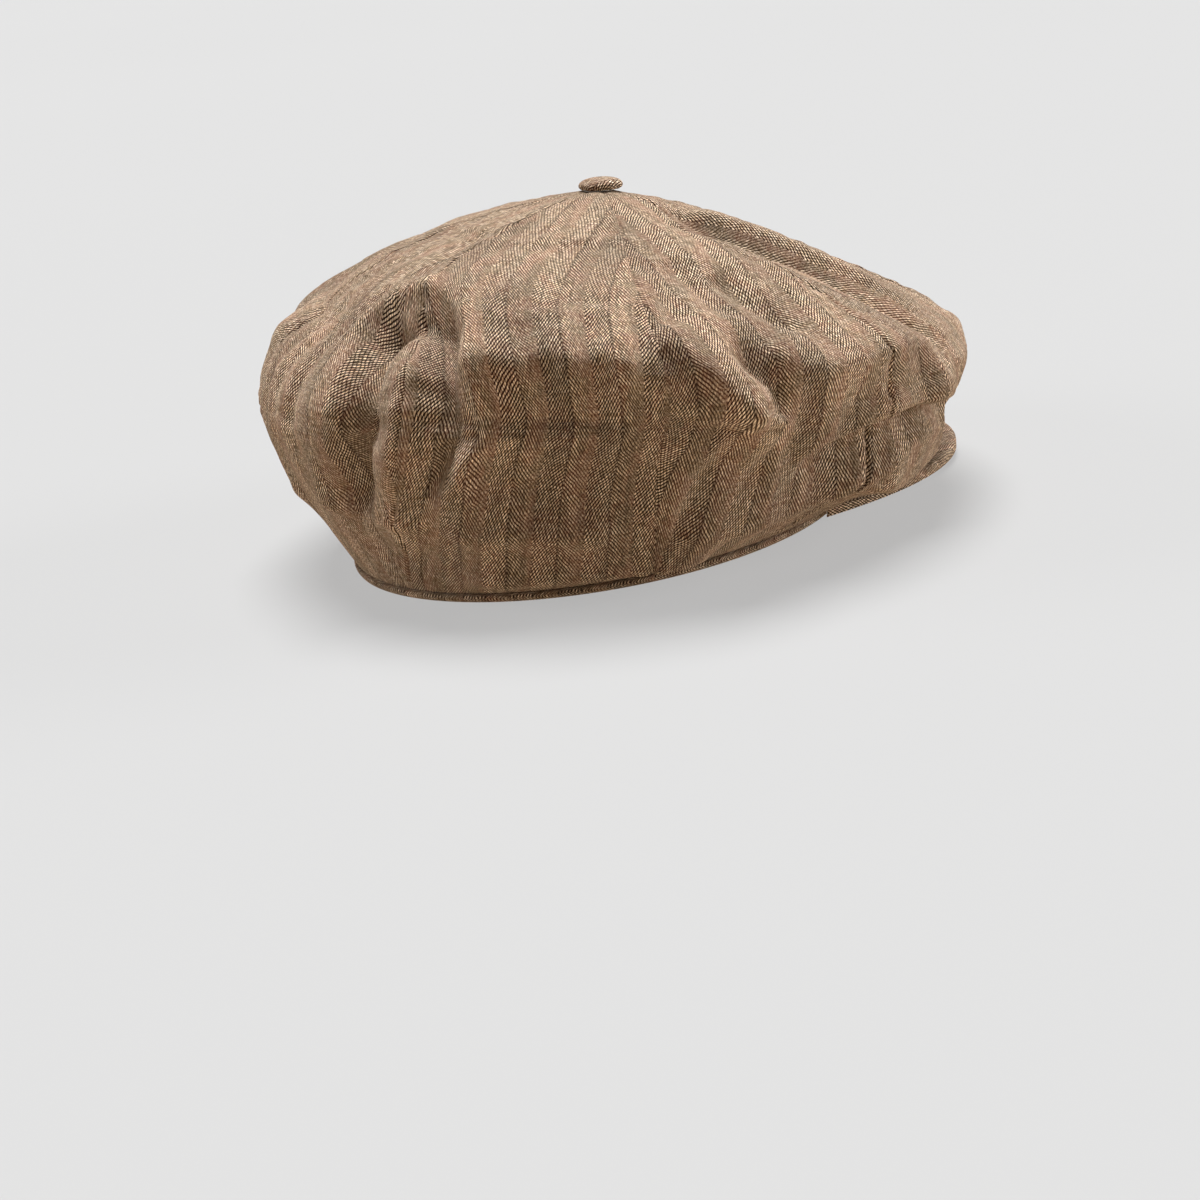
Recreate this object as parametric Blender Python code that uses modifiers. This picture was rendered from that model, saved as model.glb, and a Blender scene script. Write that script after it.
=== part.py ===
"""Eight-panel newsboy cap with a sewn-on peak and a covered top button.

Frame: metres, +Z up, the hem in the plane Z = 0 and the origin below the middle of
the whole cap. The peak points to -Y, the back is +Y and the wearer's right side is
-X. Angles around the cap run from the front (0) over the wearer's left side (+X,
90) to the back (180).
"""

import math

import bmesh
import bpy
from mathutils import Vector

MM = 0.001

# Head opening: the oval that the outside of the hem follows.
HEM_HALF_WIDTH = 83 * MM
HEM_HALF_LENGTH = 100 * MM
HEM_CENTRE_Y = 14.5 * MM

# Crown: a flattened dome whose widest line leans forward over the peak.
CROWN_HALF_WIDTH = 132 * MM
CROWN_HALF_LENGTH = 138 * MM
CROWN_RISE = 66.2 * MM
CROWN_CENTRE = Vector((0, HEM_CENTRE_Y - 12.4 * MM, 59 * MM))
CROWN_TILT = math.radians(3.5)
PANEL_COUNT = 8

# Exponents (back, front) of the crown's profile: how straight its top runs out
# from the button, how tight its shoulder is, and how full it is below.
REACH_POWER = (1.24, 1.62)
DROP_POWER = (0.99, 1.63)
TUCK_POWER = (1.82, 1.13)

# Cloth thicknesses, and the gap that keeps neighbouring pieces apart.
TWEED = 1.2 * MM
LINING = 0.5 * MM
GAP = 0.3 * MM
BUTTON_HOLE = 3 * MM

# Lower edge of the crown: just above the binding, and lifted over the peak.
EDGE_HEIGHT = 3.6 * MM
EDGE_OVER_PEAK = 6.6 * MM
LIFT_FULL_TO = math.radians(64)
LIFT_GONE_AT = math.radians(82)

# Lining: how far it hangs inside the crown and where its lower edge is sewn.
LINING_INSET = 4.4 * MM
LINING_EDGE_HEIGHT = 33.5 * MM
LINING_EDGE_INSET = 3.9 * MM

# Bands inside the hem, as insets from the hem oval, outermost first.
BINDING_LIP_INSET = 0.3 * MM
BINDING_LIP_HEIGHT = 3.2 * MM
BINDING_LEG_INSET = 2.6 * MM
BINDING_LEG_HEIGHT = 14 * MM
BINDING_CLOTH = 1.0 * MM
STIFFENER_INSET = 2.9 * MM
STIFFENER_THICKNESS = 0.8 * MM
SWEATBAND_INSET = 4.0 * MM
SWEATBAND_THICKNESS = 1.0 * MM
BAND_BOTTOM = 1.5 * MM
BAND_TOP = 32 * MM

# Peak: a stiff board between two cloth covers, hinged at its two corners. Its tip
# and corners are measured forward from the centre of the hem oval.
PEAK_HALF_WIDTH = 74 * MM
PEAK_TIP = 154 * MM
PEAK_CORNER = 54 * MM
PEAK_ROUNDNESS = 2.5
PEAK_INNER_HALF_WIDTH = 69 * MM
PEAK_HEM_GAP = 0.7 * MM
PEAK_HEIGHT = 2.7 * MM
PEAK_CAMBER = 3 * MM
BOARD_THICKNESS = 2.0 * MM
BOARD_MARGIN = 1.6 * MM
COVER_THICKNESS = 0.9 * MM
HINGE_Y = HEM_CENTRE_Y - 52 * MM

# Top button, measured up from the top of the crown.
BUTTON_RADIUS = 8.2 * MM
BUTTON_TOP = 4.7 * MM
BUTTON_BASE = 0.4 * MM
BUTTON_CLOTH = 0.6 * MM
BUTTON_METAL = 0.5 * MM
SHANK_RADIUS = 1.2 * MM
SHANK_END = -3.6 * MM
WASHER_RADIUS = 4.5 * MM
WASHER_TOP = -2.6 * MM

RING_STEPS = 64
TURN_STEPS = 24

PANEL_NAMES = (
    "front", "front_left", "left", "back_left",
    "back", "back_right", "right", "front_right",
)


# ---------------------------------------------------------------- shapes

def between(pair, angle, focus=2):
    """Mix a (back, front) pair by the angle; focus draws the front value forward."""
    back, front = pair
    return back + (front - back) * ((1 + math.cos(angle)) / 2) ** focus


def smooth_step(low, high, value):
    """Rise from 0 at low to 1 at high, level at both ends."""
    share = min(max((value - low) / (high - low), 0.0), 1.0)
    return share * share * (3 - 2 * share)


def hem_point(angle, inset, height):
    """A point on the hem oval, moved inwards by inset."""
    return Vector((
        (HEM_HALF_WIDTH - inset) * math.sin(angle),
        HEM_CENTRE_Y - (HEM_HALF_LENGTH - inset) * math.cos(angle),
        height,
    ))


def edge_height(angle):
    """Height of the crown's lower edge, lifted where the peak lies under it."""
    from_front = abs(math.remainder(angle, 2 * math.pi))
    lifted = 1 - smooth_step(LIFT_FULL_TO, LIFT_GONE_AT, from_front)
    return EDGE_HEIGHT + (EDGE_OVER_PEAK - EDGE_HEIGHT) * lifted


def crown_axes():
    """The crown's upward and forward directions, leaning by its tilt."""
    up = Vector((0, -math.sin(CROWN_TILT), math.cos(CROWN_TILT)))
    forward = Vector((0, -math.cos(CROWN_TILT), -math.sin(CROWN_TILT)))
    return up, forward


def dome_point(angle, turn, inset):
    """A point above the widest line; turn runs from 0 at the button to 90 degrees."""
    up, forward = crown_axes()
    reach = math.sin(turn) ** between(REACH_POWER, angle)
    rise = math.cos(turn) ** between(DROP_POWER, angle)
    side = Vector((1, 0, 0)) * (CROWN_HALF_WIDTH - inset) * math.sin(angle)
    front = forward * (CROWN_HALF_LENGTH - inset) * math.cos(angle)
    return CROWN_CENTRE + (side + front) * reach + up * (CROWN_RISE - inset) * rise


def tuck_point(angle, turn, inset, edge):
    """A point below the widest line; turn runs from 0 there to 90 degrees at edge."""
    widest = dome_point(angle, math.pi / 2, inset)
    power = between(TUCK_POWER, angle, focus=1)
    outward = max(math.cos(turn), 0.0) ** power
    fallen = math.sin(turn) ** power
    point = edge.lerp(widest, outward)
    point.z = widest.z + (edge.z - widest.z) * fallen
    return point


def hole_turn(angle, radius):
    """The turn at which the dome is this far from the button's axis."""
    return math.asin((radius / CROWN_HALF_LENGTH) ** (1 / between(REACH_POWER, angle)))


# ---------------------------------------------------------------- mesh tools

def clear_scene():
    for item in list(bpy.data.objects):
        bpy.data.objects.remove(item, do_unlink=True)


def make_collection(name):
    collection = bpy.data.collections.new(name)
    bpy.context.scene.collection.children.link(collection)
    return collection


def make_material(name, colour, roughness, metallic=0.0):
    material = bpy.data.materials.new(name)
    material.use_nodes = True
    shader = material.node_tree.nodes["Principled BSDF"]
    shader.inputs["Base Color"].default_value = (*colour, 1.0)
    shader.inputs["Roughness"].default_value = roughness
    shader.inputs["Metallic"].default_value = metallic
    return material


def add_object(name, mesh, material, collection, parent=None):
    mesh.materials.append(material)
    mesh.shade_smooth()
    mesh.set_sharp_from_angle(angle=math.radians(40))
    piece = bpy.data.objects.new(name, mesh)
    piece.parent = parent
    collection.objects.link(piece)
    return piece


def sheet(name, columns, rows, place, joined=False):
    """An open surface: a grid whose points go where place(u, v) says."""
    grid = bmesh.new()
    bmesh.ops.create_grid(grid, x_segments=columns, y_segments=rows, size=0.5)
    for vertex in grid.verts:
        vertex.co = place(vertex.co.x + 0.5, vertex.co.y + 0.5)
    if joined:
        bmesh.ops.remove_doubles(grid, verts=grid.verts, dist=0.01 * MM)
    mesh = bpy.data.meshes.new(name)
    grid.to_mesh(mesh)
    grid.free()
    return mesh


def thicken(piece, thickness, offset=-1):
    """Give an open surface its cloth thickness, to its inner side by default."""
    solid = piece.modifiers.new("thickness", "SOLIDIFY")
    solid.thickness = thickness
    solid.offset = offset
    solid.use_even_offset = True
    return piece


def turned(name, profile, material, collection, parent, closed):
    """A profile of (radius, height) points turned about the parent's Z axis."""
    mesh = bpy.data.meshes.new(name)
    points = [(radius, 0, height) for radius, height in profile]
    edges = [(index, index + 1) for index in range(len(points) - 1)]
    if closed:
        edges.append((len(points) - 1, 0))
    mesh.from_pydata(points, edges, [])
    piece = add_object(name, mesh, material, collection, parent)
    screw = piece.modifiers.new("turn", "SCREW")
    screw.axis = "Z"
    screw.angle = 2 * math.pi
    screw.steps = TURN_STEPS
    screw.render_steps = TURN_STEPS
    screw.use_merge_vertices = True
    screw.merge_threshold = 0.01 * MM
    screw.use_smooth_shade = True
    return piece


def dome_profile(radius, top, bottom, steps=6):
    """A quarter ellipse from the axis down to the rim, then straight to bottom."""
    shoulder = bottom + (top - bottom) * 0.3
    points = []
    for step in range(steps + 1):
        turn = math.pi / 2 * step / steps
        points.append((radius * math.sin(turn), shoulder + (top - shoulder) * math.cos(turn)))
    points.append((radius, bottom))
    return points


# ---------------------------------------------------------------- pieces

def panel_angles(index, share, radius):
    """The angle at this share of a panel's width, kept clear of its seams."""
    width = 2 * math.pi / PANEL_COUNT
    seam_gap = math.asin(GAP / 2 / max(radius, GAP))
    half = width / 2 - seam_gap
    return index * width + (2 * share - 1) * half


def crown_panel(index, columns=6, dome_rows=9, tuck_rows=5):
    """One wedge of the crown, from its lower edge up to the button hole."""
    dome_share = dome_rows / (dome_rows + tuck_rows)

    def place(u, v):
        middle = index * 2 * math.pi / PANEL_COUNT
        if v > 1 - dome_share:
            rest = (v - (1 - dome_share)) / dome_share
            start = hole_turn(middle, BUTTON_HOLE)
            turn = math.pi / 2 + (start - math.pi / 2) * rest
            reach = CROWN_HALF_WIDTH * math.sin(turn) ** between(REACH_POWER, middle)
            return dome_point(panel_angles(index, u, reach), turn, 0)
        turn = math.pi / 2 * (1 - v / (1 - dome_share))
        angle = panel_angles(index, u, HEM_HALF_WIDTH)
        return tuck_point(angle, turn, 0, hem_point(angle, 0, edge_height(angle)))

    return sheet(f"crown_panel_{PANEL_NAMES[index]}", columns, dome_rows + tuck_rows, place)


def lining_panel(index, columns=4, dome_rows=7, tuck_rows=3):
    """One wedge of the lining, hanging inside the crown above the sweatband."""
    dome_share = dome_rows / (dome_rows + tuck_rows)

    def place(u, v):
        middle = index * 2 * math.pi / PANEL_COUNT
        if v > 1 - dome_share:
            rest = (v - (1 - dome_share)) / dome_share
            start = hole_turn(middle, BUTTON_HOLE)
            turn = math.pi / 2 + (start - math.pi / 2) * rest
            reach = CROWN_HALF_WIDTH * math.sin(turn) ** between(REACH_POWER, middle)
            return dome_point(panel_angles(index, u, reach), turn, LINING_INSET)
        turn = math.pi / 2 * (1 - v / (1 - dome_share))
        angle = panel_angles(index, u, HEM_HALF_WIDTH)
        edge = hem_point(angle, LINING_EDGE_INSET, LINING_EDGE_HEIGHT)
        return tuck_point(angle, turn, LINING_INSET, edge)

    return sheet(f"lining_panel_{PANEL_NAMES[index]}", columns, dome_rows + tuck_rows, place)


def band(name, inset, bottom, top, rows=2):
    """An upright oval band; its outer face is inset from the hem oval."""
    def place(u, v):
        return hem_point(u * 2 * math.pi, inset, bottom + (top - bottom) * v)

    return sheet(name, RING_STEPS, rows, place, joined=True)


def hem_binding():
    """The folded self-cloth strip: a lip outside, a flat bottom and a leg inside."""
    rounding = 0.6 * MM
    path = (
        (BINDING_LEG_INSET, BINDING_LEG_HEIGHT),
        (BINDING_LEG_INSET, rounding),
        (BINDING_LEG_INSET - rounding, 0),
        (BINDING_LIP_INSET + rounding, 0),
        (BINDING_LIP_INSET, rounding),
        (BINDING_LIP_INSET, BINDING_LIP_HEIGHT),
    )

    def place(u, v):
        inset, height = path[round(v * (len(path) - 1))]
        return hem_point(u * 2 * math.pi, inset, height)

    return sheet("hem_binding", RING_STEPS, len(path) - 1, place, joined=True)


def peak_outline(share, margin):
    """A point on the peak's outer edge; share runs from corner 0 to corner 1."""
    turn = (2 * share - 1) * math.pi / 2
    power = 2 / PEAK_ROUNDNESS
    across = math.copysign(abs(math.sin(turn)) ** power, turn)
    along = max(math.cos(turn), 0.0) ** power
    return Vector((
        (PEAK_HALF_WIDTH - margin) * across,
        HEM_CENTRE_Y - PEAK_CORNER - (PEAK_TIP - PEAK_CORNER - margin) * along,
        0,
    ))


def peak_point(u, v, height, margin):
    """A point of the peak; v runs from the hem (0) out to the rim (1)."""
    inset = -PEAK_HEM_GAP - margin * 0.5
    corner = math.asin((PEAK_INNER_HALF_WIDTH - margin) / (HEM_HALF_WIDTH - inset))
    inner = hem_point((2 * u - 1) * corner, inset, 0)
    outer = peak_outline(u, margin)
    point = inner.lerp(outer, v)
    across = point.x / PEAK_HALF_WIDTH
    point.z = PEAK_HEIGHT + height + PEAK_CAMBER * v * (1 - across * across)
    return point


def peak_sheet(name, height, margin, columns=18, rows=5, lip=0.0):
    """A surface of the peak, facing up; a lip turns its outer row down by that much."""
    def place(u, v):
        share = 1 - u
        if lip and v > 1 - 0.5 / (rows + 1):
            point = peak_point(share, 1, height, margin)
            point.z -= lip
            return point
        spread = v * (rows + 1) / rows if lip else v
        return peak_point(share, spread, height, margin)

    return sheet(name, columns, rows + 1 if lip else rows, place)


# ---------------------------------------------------------------- assembly

def build():
    clear_scene()
    cap = make_collection("newsboy_cap")

    tweed = make_material("tweed", (0.17, 0.135, 0.10), 0.95)
    satin = make_material("lining", (0.10, 0.075, 0.055), 0.45)
    cotton = make_material("sweatband", (0.09, 0.07, 0.055), 0.8)
    canvas = make_material("stiffener", (0.55, 0.50, 0.42), 0.9)
    plastic = make_material("board", (0.62, 0.62, 0.60), 0.5)
    steel = make_material("button_metal", (0.62, 0.62, 0.62), 0.35, 1.0)

    for index, place_name in enumerate(PANEL_NAMES):
        panel = add_object(f"crown_panel_{place_name}", crown_panel(index), tweed, cap)
        thicken(panel, TWEED)
        inner = add_object(f"lining_panel_{place_name}", lining_panel(index), satin, cap)
        thicken(inner, LINING)

    thicken(add_object("hem_binding", hem_binding(), tweed, cap), BINDING_CLOTH)
    stiffener = band("headband_stiffener", STIFFENER_INSET, BAND_BOTTOM, BAND_TOP)
    thicken(add_object("headband_stiffener", stiffener, canvas, cap), STIFFENER_THICKNESS)
    sweatband = band("sweatband", SWEATBAND_INSET, BAND_BOTTOM, BAND_TOP)
    thicken(add_object("sweatband", sweatband, cotton, cap), SWEATBAND_THICKNESS)

    hinge = bpy.data.objects.new("peak_hinge", None)
    hinge.location = (0, HINGE_Y, PEAK_HEIGHT)
    cap.objects.link(hinge)
    build_peak(hinge, tweed, plastic, cap)

    up, _ = crown_axes()
    button_axis = bpy.data.objects.new("button_axis", None)
    button_axis.location = CROWN_CENTRE + up * CROWN_RISE
    button_axis.rotation_euler = (CROWN_TILT, 0, 0)
    cap.objects.link(button_axis)
    build_button(button_axis, tweed, steel, cap)


def build_peak(hinge, tweed, plastic, cap):
    """The board and its two covers, hung on the hinge empty."""
    cover_height = BOARD_THICKNESS / 2 + GAP + COVER_THICKNESS
    sheets = (
        ("peak_board", 0, BOARD_MARGIN, 0.0, plastic, BOARD_THICKNESS, 0),
        ("peak_top_cover", cover_height, 0, BOARD_THICKNESS, tweed, COVER_THICKNESS, -1),
        ("peak_under_cover", -cover_height, BOARD_MARGIN, 0.0, tweed, COVER_THICKNESS, 1),
    )
    for name, height, margin, lip, material, thickness, offset in sheets:
        mesh = peak_sheet(name, height, margin, lip=lip)
        mesh.transform(hinge.matrix_basis.inverted())
        thicken(add_object(name, mesh, material, cap, hinge), thickness, offset)


def build_button(axis, tweed, steel, cap):
    """The covered button: cloth, dome, back plate with its shank, and washer."""
    cover = turned(
        "button_cover", dome_profile(BUTTON_RADIUS, BUTTON_TOP, BUTTON_BASE),
        tweed, cap, axis, closed=False)
    thicken(cover, BUTTON_CLOTH)

    dome_radius = BUTTON_RADIUS - BUTTON_CLOTH - GAP
    dome_top = BUTTON_TOP - BUTTON_CLOTH - GAP
    dome = turned(
        "button_dome", dome_profile(dome_radius, dome_top, BUTTON_BASE),
        steel, cap, axis, closed=False)
    thicken(dome, BUTTON_METAL)

    plate_radius = dome_radius - BUTTON_METAL - GAP
    plate_top = BUTTON_BASE + 0.6 * MM
    back = [
        (0, plate_top),
        (plate_radius, plate_top),
        (plate_radius, BUTTON_BASE),
        (SHANK_RADIUS, BUTTON_BASE),
        (SHANK_RADIUS, SHANK_END),
        (0, SHANK_END),
    ]
    turned("button_back", back, steel, cap, axis, closed=False)

    hole = SHANK_RADIUS + GAP
    washer = [
        (hole, WASHER_TOP),
        (WASHER_RADIUS, WASHER_TOP),
        (WASHER_RADIUS, WASHER_TOP - 0.5 * MM),
        (hole, WASHER_TOP - 0.5 * MM),
    ]
    turned("button_washer", washer, steel, cap, axis, closed=True)


build()
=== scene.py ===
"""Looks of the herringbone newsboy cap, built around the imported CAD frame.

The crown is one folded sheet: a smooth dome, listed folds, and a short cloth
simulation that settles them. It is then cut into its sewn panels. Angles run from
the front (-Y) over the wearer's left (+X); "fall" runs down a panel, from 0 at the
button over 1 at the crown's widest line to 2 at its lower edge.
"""

import math

import bpy
import numpy as np
from mathutils import Matrix, Vector, noise


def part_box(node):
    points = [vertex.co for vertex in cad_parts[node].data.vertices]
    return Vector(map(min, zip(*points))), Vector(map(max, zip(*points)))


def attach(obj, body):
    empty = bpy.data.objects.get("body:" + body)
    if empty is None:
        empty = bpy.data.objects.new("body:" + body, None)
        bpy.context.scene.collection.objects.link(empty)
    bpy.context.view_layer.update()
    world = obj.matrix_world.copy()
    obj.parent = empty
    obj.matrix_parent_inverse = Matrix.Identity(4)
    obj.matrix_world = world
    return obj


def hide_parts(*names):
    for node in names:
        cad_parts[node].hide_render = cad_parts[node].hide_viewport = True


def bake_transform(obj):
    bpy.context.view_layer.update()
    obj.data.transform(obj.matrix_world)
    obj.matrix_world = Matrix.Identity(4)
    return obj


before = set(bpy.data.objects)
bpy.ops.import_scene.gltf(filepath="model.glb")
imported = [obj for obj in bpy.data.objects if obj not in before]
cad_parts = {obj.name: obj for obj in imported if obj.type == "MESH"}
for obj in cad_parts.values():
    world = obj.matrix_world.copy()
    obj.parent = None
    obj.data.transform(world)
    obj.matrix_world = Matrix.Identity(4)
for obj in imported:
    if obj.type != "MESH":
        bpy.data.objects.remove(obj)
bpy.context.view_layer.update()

MM = 0.001
TURN = 2 * math.pi
PANEL_NAMES = (
    "front", "front_left", "left", "back_left",
    "back", "back_right", "right", "front_right",
)
PANELS = len(PANEL_NAMES)

# ---- sizes from the frame

LIP_INSET = 0.3 * MM
WIDEST_HEIGHT = 59 * MM
TILT = math.radians(3.5)

binding_low, binding_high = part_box("hem_binding")
HEM_HALF_WIDTH = (binding_high.x - binding_low.x) / 2 + LIP_INSET
HEM_HALF_LENGTH = (binding_high.y - binding_low.y) / 2 + LIP_INSET
HEM_CENTRE_Y = (binding_high.y + binding_low.y) / 2

crown_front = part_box("crown_panel_front")[0].y
crown_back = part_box("crown_panel_back")[1].y
crown_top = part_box("crown_panel_back")[1].z
CROWN_HALF_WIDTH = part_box("crown_panel_left")[1].x
CROWN_HALF_LENGTH = (crown_back - crown_front) / 2 / math.cos(TILT)
CROWN_CENTRE = np.array([0, (crown_back + crown_front) / 2, WIDEST_HEIGHT])
CROWN_RISE = (crown_top - WIDEST_HEIGHT) / math.cos(TILT)

UP = np.array([0, -math.sin(TILT), math.cos(TILT)])
FORWARD = np.array([0, -math.cos(TILT), -math.sin(TILT)])
ACROSS = np.array([1.0, 0, 0])

# Exponents (back, front) of the crown's smooth profile, as in the CAD part.
REACH_POWER = (1.24, 1.62)
DROP_POWER = (0.99, 1.63)
TUCK_POWER = (1.82, 1.13)

TWEED = 1.2 * MM
DRAWN_TWEED = 0.9 * MM  # round the hem and the peak
EDGE_HEIGHT = 3.4 * MM
EDGE_OVER_PEAK = 6.4 * MM
EDGE_INSET = 0.5 * MM
# Angles from the front where the edge comes down from the peak.
EDGE_LIFT_END = np.radians((57, 66))
BUTTON_HOLE = 3 * MM
LINING = 0.5 * MM
LINING_INSET = 4.4 * MM
LINING_EDGE_HEIGHT = 33.5 * MM
LINING_EDGE_INSET = 3.9 * MM


# ---- number tools

def smooth_step(low, high, value):
    share = np.clip((value - low) / (high - low), 0, 1)
    return share * share * (3 - 2 * share)


def between(pair, angle, focus=2):
    """Mix a (back, front) pair by the angle; focus draws the front value forward."""
    back, front = pair
    return back + (front - back) * ((1 + np.cos(angle)) / 2) ** focus


def cubic_sample(values, places, wrap=False):
    """Smooth values along axis 0 at fractional places (Catmull-Rom)."""
    base = np.floor(places).astype(int)
    if not wrap:
        base = np.clip(base, 0, len(values) - 2)
    part = (places - base).reshape((-1,) + (1,) * (values.ndim - 1))
    before, here, there, after = (
        np.take(values, base + step, axis=0, mode="wrap" if wrap else "clip")
        for step in (-1, 0, 1, 2))
    return here + 0.5 * part * (
        there - before
        + part * (2 * before - 5 * here + 4 * there - after
                  + part * (3 * (here - there) + after - before)))


def read_columns(places, known, values):
    """The values at these places, column by column."""
    return np.stack([
        np.interp(places[:, column], known[:, column], values[:, column])
        for column in range(values.shape[1])
    ], axis=1)


def running_length(points, axis):
    """Distance travelled along an axis of a grid, from its first point."""
    steps = np.linalg.norm(np.diff(points, axis=axis), axis=-1)
    lengths = np.cumsum(steps, axis=axis)
    return np.concatenate([np.zeros_like(np.take(lengths, [0], axis)), lengths], axis=axis)


def neighbours(values, axis, wrap=False):
    """The values before and after each value; the ends repeat, or meet if wrapped."""
    places = np.arange(values.shape[axis])
    mode = "wrap" if wrap else "clip"
    return [np.take(values, places + step, axis, mode=mode) for step in (-1, 1)]


def soften(values, passes, axis=0, wrap=False):
    """Average each value with its neighbours, again and again."""
    for _ in range(passes):
        before, after = neighbours(values, axis, wrap)
        values = (before + 2 * values + after) / 4
    return values


def soften_round(values, down, around):
    """Soften a grid that runs round the cap, down its columns and around it."""
    return soften(soften(values, down), around, axis=1, wrap=True)


def unit(vectors):
    return vectors / np.maximum(np.linalg.norm(vectors, axis=-1, keepdims=True), 1e-12)


def directions(path):
    """Unit vectors along a path of points."""
    return unit(np.gradient(path, axis=0))


def grid_normals(points, wrap=False):
    """Outward unit normals of a grid whose rows run down and columns run round."""
    before, after = neighbours(points, 1, wrap)
    return unit(np.cross(np.gradient(points, axis=0), after - before))


def wrapped(grid, axis=1):
    """A grid with its first row or column repeated at its end."""
    return np.concatenate([grid, np.take(grid, [0], axis)], axis)


def roughness_of(points, scale, seed):
    """Smooth random values from -1 to 1 at these points; scale in metres."""
    shift = Vector((seed * 17.3, seed * 5.1, seed * 9.7))
    flat = points.reshape(-1, 3) / scale
    values = [noise.noise(Vector(point) + shift) for point in flat.tolist()]
    return np.array(values).reshape(points.shape[:-1])


# ---- the crown's surface

def oval(angle, inset, height):
    """Points on the hem oval, moved inwards by inset."""
    angle, height = np.broadcast_arrays(angle, height)
    return np.stack([
        (HEM_HALF_WIDTH - inset) * np.sin(angle),
        HEM_CENTRE_Y - (HEM_HALF_LENGTH - inset) * np.cos(angle),
        height,
    ], axis=-1)


def crown_edge(angle):
    """The crown's lower edge, lifted over the peak."""
    from_front = np.abs((angle + math.pi) % TURN - math.pi)
    lifted = 1 - smooth_step(*EDGE_LIFT_END, from_front)
    return oval(angle, EDGE_INSET, EDGE_HEIGHT + (EDGE_OVER_PEAK - EDGE_HEIGHT) * lifted)


def lining_edge(angle):
    """The lining's lower edge, at the top of the sweatband."""
    return oval(angle, LINING_EDGE_INSET, LINING_EDGE_HEIGHT)


def cloth_surface(angle, fall, inset=0.0, edge_at=crown_edge):
    """Points of the smooth crown or a layer inside it; fall runs from 0 to 2."""
    angle, fall = np.broadcast_arrays(angle, fall)
    turn = np.clip(fall, 0, 1) * math.pi / 2
    reach = np.sin(turn) ** between(REACH_POWER, angle)
    rise = np.maximum(np.cos(turn), 0) ** between(DROP_POWER, angle)
    side = ACROSS * ((CROWN_HALF_WIDTH - inset) * np.sin(angle))[..., None]
    front = FORWARD * ((CROWN_HALF_LENGTH - inset) * np.cos(angle))[..., None]
    top = UP * ((CROWN_RISE - inset) * rise)[..., None]
    dome = CROWN_CENTRE + (side + front) * reach[..., None] + top

    turn = np.clip(fall - 1, 0, 1) * math.pi / 2
    power = between(TUCK_POWER, angle, focus=1)
    outward = np.maximum(np.cos(turn), 0) ** power
    fallen = np.sin(turn) ** power
    widest = CROWN_CENTRE + side + front
    edge = edge_at(angle)
    tuck = edge + (widest - edge) * outward[..., None]
    tuck[..., 2] = widest[..., 2] + (edge[..., 2] - widest[..., 2]) * fallen
    return np.where((fall <= 1)[..., None], dome, tuck)


# Degrees by which each seam wanders, at shares 0, 0.2 ... 1 of its length.
SEAM_DRIFT = (
    (0, 1, -2, 1, 2, 0),
    (0, -2, 1, 3, 1, 0),
    (0, 2, -1, -3, 0, 2),
    (0, -1, 2, 1, -2, 0),
    (0, 2, 3, 1, -1, -1),
    (-7, -6, -4, 5.5, 1, -5.5),
    (0, -1, -2.3, 0, 0, 4),
    (-5, -6, -7, -5, -5, -13),
)
DRIFT_STEP = 0.2
FINE_ROWS = 240


def seam_angle(seam, share):
    """Angle of a seam at these shares of its length; seam 0 is the front panel's right."""
    drift = np.array(SEAM_DRIFT[seam % PANELS], float)
    offset = cubic_sample(drift, share / DRIFT_STEP)
    return np.radians((seam - 0.5) * 360 / PANELS + offset)


def cloth_grid(rounds, rows, inset=0.0, edge_at=crown_edge):
    """Points and falls of a grid whose rows run evenly down the cloth.

    Rounds counts panels round the crown, from 0 at seam 0; rows go from 0 at the
    button to 1 at the lower edge.
    """
    middle = np.radians((rounds - 0.5) * 360 / PANELS)
    hole = (BUTTON_HOLE / CROWN_HALF_LENGTH) ** (1 / between(REACH_POWER, middle))
    top = np.arcsin(hole) / (math.pi / 2)
    fine = top + (2 - top) * np.linspace(0, 1, FINE_ROWS)[:, None]
    length = running_length(cloth_surface(middle, fine, inset, edge_at), axis=0)
    fall = read_columns(rows[:, None] * length[-1:], length, fine)
    angle = np.zeros_like(fall)
    for panel in range(PANELS):
        inside = (rounds >= panel) & (rounds < panel + 1)
        start = seam_angle(panel, rows)[:, None]
        end = seam_angle(panel + 1, rows)[:, None]
        angle[:, inside] = start + (end - start) * (rounds[inside] - panel)
    return cloth_surface(angle, fall, inset, edge_at), fall


# ---- folds

FOLD_REACH = 4  # times the wider side
FADE_START = 0.6  # of the reach
CREST_ROUNDING = 0.45  # of the width
SIDE_BLEND = 2 * MM
END_MARGIN = 0.08  # of the line


class Fold:
    """A crease or ridge along a line of (angle in degrees, fall in hundredths) points.

    Height, outward, and its widths on either hand for someone outside the cap who
    follows the line are in mm. Ends is the share of the line over which it opens.
    """

    def __init__(self, line, height, right, left, ends=0.25):
        self.height, self.right, self.left = height, right, left
        self.line, self.ends = line, ends

    def mirrored(self):
        """The same fold on the cap's other side, a little different."""
        line = [(360 - angle + 6 * math.sin(angle), fall) for angle, fall in self.line]
        return Fold(line, self.height * 0.8, self.left * 1.1, self.right * 1.1, self.ends)

    def path(self, samples=40):
        """Points along the fold's line, on the smooth crown."""
        knots = np.array(self.line, float)
        knots[:, 1] /= 100
        smooth = cubic_sample(knots, np.linspace(0, len(knots) - 1, samples))
        return cloth_surface(np.radians(smooth[:, 0]), smooth[:, 1])


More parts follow.
